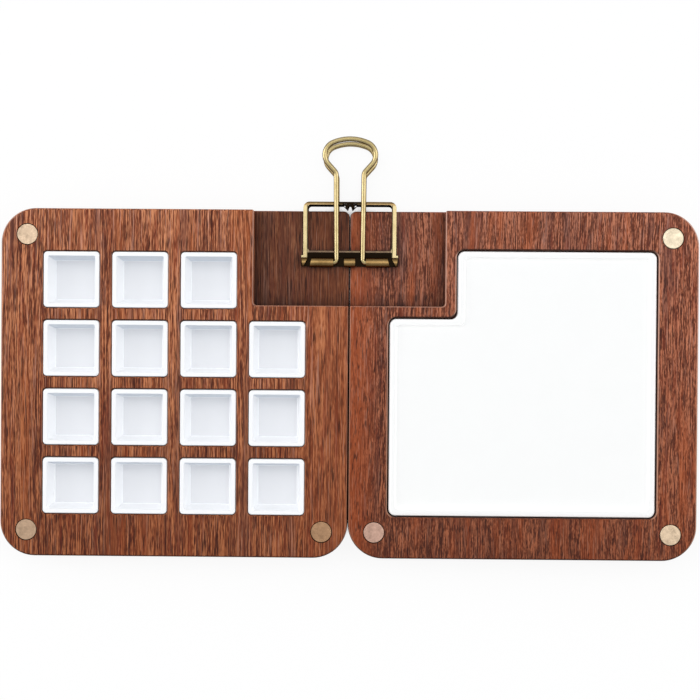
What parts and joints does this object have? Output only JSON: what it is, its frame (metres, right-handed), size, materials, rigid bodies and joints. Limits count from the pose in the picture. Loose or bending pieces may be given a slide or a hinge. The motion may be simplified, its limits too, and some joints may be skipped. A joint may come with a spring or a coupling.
{
  "type": "watercolour palette box",
  "caption": "Flat wooden watercolour palette in two loose halves, with lift-out pans, an L-shaped mixing tray, closing magnets and a skeleton spring clip across the seam.",
  "frame": {"origin": "middle of the footprint of the opened box with its clip, level with the lowest point of the clip's rear handle", "axes": "+X from the left half to the right one, +Y towards the clip, +Z out of the open faces"},
  "size_m": [0.2002, 0.1212, 0.0156],
  "materials": {
    "walnut_left": "satin oiled walnut, straight grain along Y",
    "walnut_right": "satin oiled walnut, wavy grain along Y",
    "magnet": "worn nickel plate",
    "pan_white": "glossy white",
    "tray_white": "satin white",
    "clip_brass": "antique brass plate on spring steel"
  },
  "bodies": {
    "left_half": {"left_case": "walnut_left", "magnet_left_top": "magnet", "magnet_left_bottom": "magnet", "magnet_left_seam": "magnet"},
    "right_half": {"right_case": "walnut_right", "magnet_right_top": "magnet", "magnet_right_bottom": "magnet", "magnet_right_seam": "magnet"},
    "pan_row1_col1": {"pan_row1_col1": "pan_white"},
    "pan_row1_col2": {"pan_row1_col2": "pan_white"},
    "pan_row1_col3": {"pan_row1_col3": "pan_white"},
    "pan_row2_col1": {"pan_row2_col1": "pan_white"},
    "pan_row2_col2": {"pan_row2_col2": "pan_white"},
    "pan_row2_col3": {"pan_row2_col3": "pan_white"},
    "pan_row2_col4": {"pan_row2_col4": "pan_white"},
    "pan_row3_col1": {"pan_row3_col1": "pan_white"},
    "pan_row3_col2": {"pan_row3_col2": "pan_white"},
    "pan_row3_col3": {"pan_row3_col3": "pan_white"},
    "pan_row3_col4": {"pan_row3_col4": "pan_white"},
    "pan_row4_col1": {"pan_row4_col1": "pan_white"},
    "pan_row4_col2": {"pan_row4_col2": "pan_white"},
    "pan_row4_col3": {"pan_row4_col3": "pan_white"},
    "pan_row4_col4": {"pan_row4_col4": "pan_white"},
    "mixing_tray": {"mixing_tray": "tray_white"},
    "clip_spine": {"clip_spine": "clip_brass"},
    "clip_front_jaw": {"clip_front_jaw": "clip_brass"},
    "clip_rear_jaw": {"clip_rear_jaw": "clip_brass"},
    "clip_front_handle": {"clip_front_handle": "clip_brass"},
    "clip_rear_handle": {"clip_rear_handle": "clip_brass"}
  },
  "joints": [
    {"name": "right_half_part", "type": "slide", "parent": "left_half", "child": "right_half", "axis": [1, 0, 0], "range_m": [0, 0.03]},
    {"name": "pan_row1_col1_lift", "type": "slide", "parent": "left_half", "child": "pan_row1_col1", "axis": [0, 0, 1], "range_m": [0, 0.012]},
    {"name": "pan_row1_col2_lift", "type": "slide", "parent": "left_half", "child": "pan_row1_col2", "axis": [0, 0, 1], "range_m": [0, 0.012]},
    {"name": "pan_row1_col3_lift", "type": "slide", "parent": "left_half", "child": "pan_row1_col3", "axis": [0, 0, 1], "range_m": [0, 0.012]},
    {"name": "pan_row2_col1_lift", "type": "slide", "parent": "left_half", "child": "pan_row2_col1", "axis": [0, 0, 1], "range_m": [0, 0.012]},
    {"name": "pan_row2_col2_lift", "type": "slide", "parent": "left_half", "child": "pan_row2_col2", "axis": [0, 0, 1], "range_m": [0, 0.012]},
    {"name": "pan_row2_col3_lift", "type": "slide", "parent": "left_half", "child": "pan_row2_col3", "axis": [0, 0, 1], "range_m": [0, 0.012]},
    {"name": "pan_row2_col4_lift", "type": "slide", "parent": "left_half", "child": "pan_row2_col4", "axis": [0, 0, 1], "range_m": [0, 0.012]},
    {"name": "pan_row3_col1_lift", "type": "slide", "parent": "left_half", "child": "pan_row3_col1", "axis": [0, 0, 1], "range_m": [0, 0.012]},
    {"name": "pan_row3_col2_lift", "type": "slide", "parent": "left_half", "child": "pan_row3_col2", "axis": [0, 0, 1], "range_m": [0, 0.012]},
    {"name": "pan_row3_col3_lift", "type": "slide", "parent": "left_half", "child": "pan_row3_col3", "axis": [0, 0, 1], "range_m": [0, 0.012]},
    {"name": "pan_row3_col4_lift", "type": "slide", "parent": "left_half", "child": "pan_row3_col4", "axis": [0, 0, 1], "range_m": [0, 0.012]},
    {"name": "pan_row4_col1_lift", "type": "slide", "parent": "left_half", "child": "pan_row4_col1", "axis": [0, 0, 1], "range_m": [0, 0.012]},
    {"name": "pan_row4_col2_lift", "type": "slide", "parent": "left_half", "child": "pan_row4_col2", "axis": [0, 0, 1], "range_m": [0, 0.012]},
    {"name": "pan_row4_col3_lift", "type": "slide", "parent": "left_half", "child": "pan_row4_col3", "axis": [0, 0, 1], "range_m": [0, 0.012]},
    {"name": "pan_row4_col4_lift", "type": "slide", "parent": "left_half", "child": "pan_row4_col4", "axis": [0, 0, 1], "range_m": [0, 0.012]},
    {"name": "mixing_tray_lift", "type": "slide", "parent": "right_half", "child": "mixing_tray", "axis": [0, 0, 1], "range_m": [0, 0.008]},
    {"name": "clip_pull_off", "type": "slide", "parent": "left_half", "child": "clip_spine", "axis": [0, 1, 0], "range_m": [0, 0.02]},
    {"name": "clip_front_jaw_open", "type": "hinge", "parent": "clip_spine", "child": "clip_front_jaw", "pos_m": [0, 0.04208, 0.01109], "axis": [-1, 0, 0], "range_deg": [0, 11], "stiffness_Nm_per_rad": 0.3, "springref_deg": -22.92},
    {"name": "clip_rear_jaw_open", "type": "hinge", "parent": "clip_spine", "child": "clip_rear_jaw", "pos_m": [0, 0.04208, 0.00369], "axis": [1, 0, 0], "range_deg": [0, 11], "stiffness_Nm_per_rad": 0.3, "springref_deg": -22.92},
    {"name": "clip_front_handle_swing", "type": "hinge", "parent": "clip_front_jaw", "child": "clip_front_handle", "pos_m": [0, 0.02448, 0.01158], "axis": [1, 0, 0], "range_deg": [0, 150]},
    {"name": "clip_rear_handle_swing", "type": "hinge", "parent": "clip_rear_jaw", "child": "clip_rear_handle", "pos_m": [0, 0.02448, 0.00319], "axis": [-1, 0, 0], "range_deg": [0, 172]}
  ],
  "couplings": [
    {"joint": "clip_rear_jaw_open", "follows": "clip_front_jaw_open", "ratio": 1}
  ]
}
